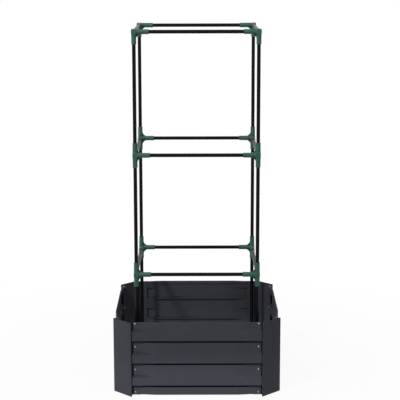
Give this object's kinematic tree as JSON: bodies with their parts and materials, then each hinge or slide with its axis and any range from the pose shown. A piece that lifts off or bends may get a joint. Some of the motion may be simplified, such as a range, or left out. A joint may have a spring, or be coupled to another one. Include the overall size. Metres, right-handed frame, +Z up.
{
  "type": "planter with trellis",
  "caption": "Square floor planter of ribbed sheet steel with cut corners, open at the top and the bottom, and a free-standing square tube trellis that lifts out of it.",
  "frame": {"origin": "on the ground, under the middle of the planter", "axes": "+X to the right, +Y to the back, +Z up; the pictured front looks along -Y"},
  "size_m": [0.6, 0.6, 1.3004],
  "materials": {
    "slate_powder_coat": "matte dark slate powder coat with a fine orange peel",
    "black_tube": "semi-gloss black plastic coat on steel tube",
    "green_connector": "satin dark green moulded plastic",
    "zinc_bolt": "bright zinc plate on the bolts and nuts"
  },
  "bodies": {
    "planter_box": {"panel_front": "slate_powder_coat", "panel_right": "slate_powder_coat", "panel_back": "slate_powder_coat", "panel_left": "slate_powder_coat", "corner_post_front_left": "slate_powder_coat", "corner_post_front_right": "slate_powder_coat", "corner_post_back_right": "slate_powder_coat", "corner_post_back_left": "slate_powder_coat"},
    "trellis": {"connector_low_front_left": "green_connector", "connector_low_front_right": "green_connector", "connector_low_back_right": "green_connector", "connector_low_back_left": "green_connector", "connector_middle_front_left": "green_connector", "connector_middle_front_right": "green_connector", "connector_middle_back_right": "green_connector", "connector_middle_back_left": "green_connector", "connector_top_front_left": "green_connector", "connector_top_front_right": "green_connector", "connector_top_back_right": "green_connector", "connector_top_back_left": "green_connector", "bar_low_front": "black_tube", "bar_low_back": "black_tube", "bar_low_left": "black_tube", "bar_low_right": "black_tube", "bar_middle_front": "black_tube", "bar_middle_back": "black_tube", "bar_middle_left": "black_tube", "bar_middle_right": "black_tube", "bar_top_front": "black_tube", "bar_top_back": "black_tube", "bar_top_left": "black_tube", "bar_top_right": "black_tube", "post_lower_front_left": "black_tube", "post_lower_front_right": "black_tube", "post_lower_back_right": "black_tube", "post_lower_back_left": "black_tube", "post_upper_front_left": "black_tube", "post_upper_front_right": "black_tube", "post_upper_back_right": "black_tube", "post_upper_back_left": "black_tube", "leg_front_left": "black_tube", "leg_front_right": "black_tube", "leg_back_right": "black_tube", "leg_back_left": "black_tube", "leg_tip_front_left": "green_connector", "leg_tip_front_right": "green_connector", "leg_tip_back_right": "green_connector", "leg_tip_back_left": "green_connector"}
  },
  "joints": [
    {"name": "trellis_lift_out", "type": "slide", "parent": "planter_box", "child": "trellis", "axis": [0, 0, 1], "range_m": [0, 0.3]}
  ]
}
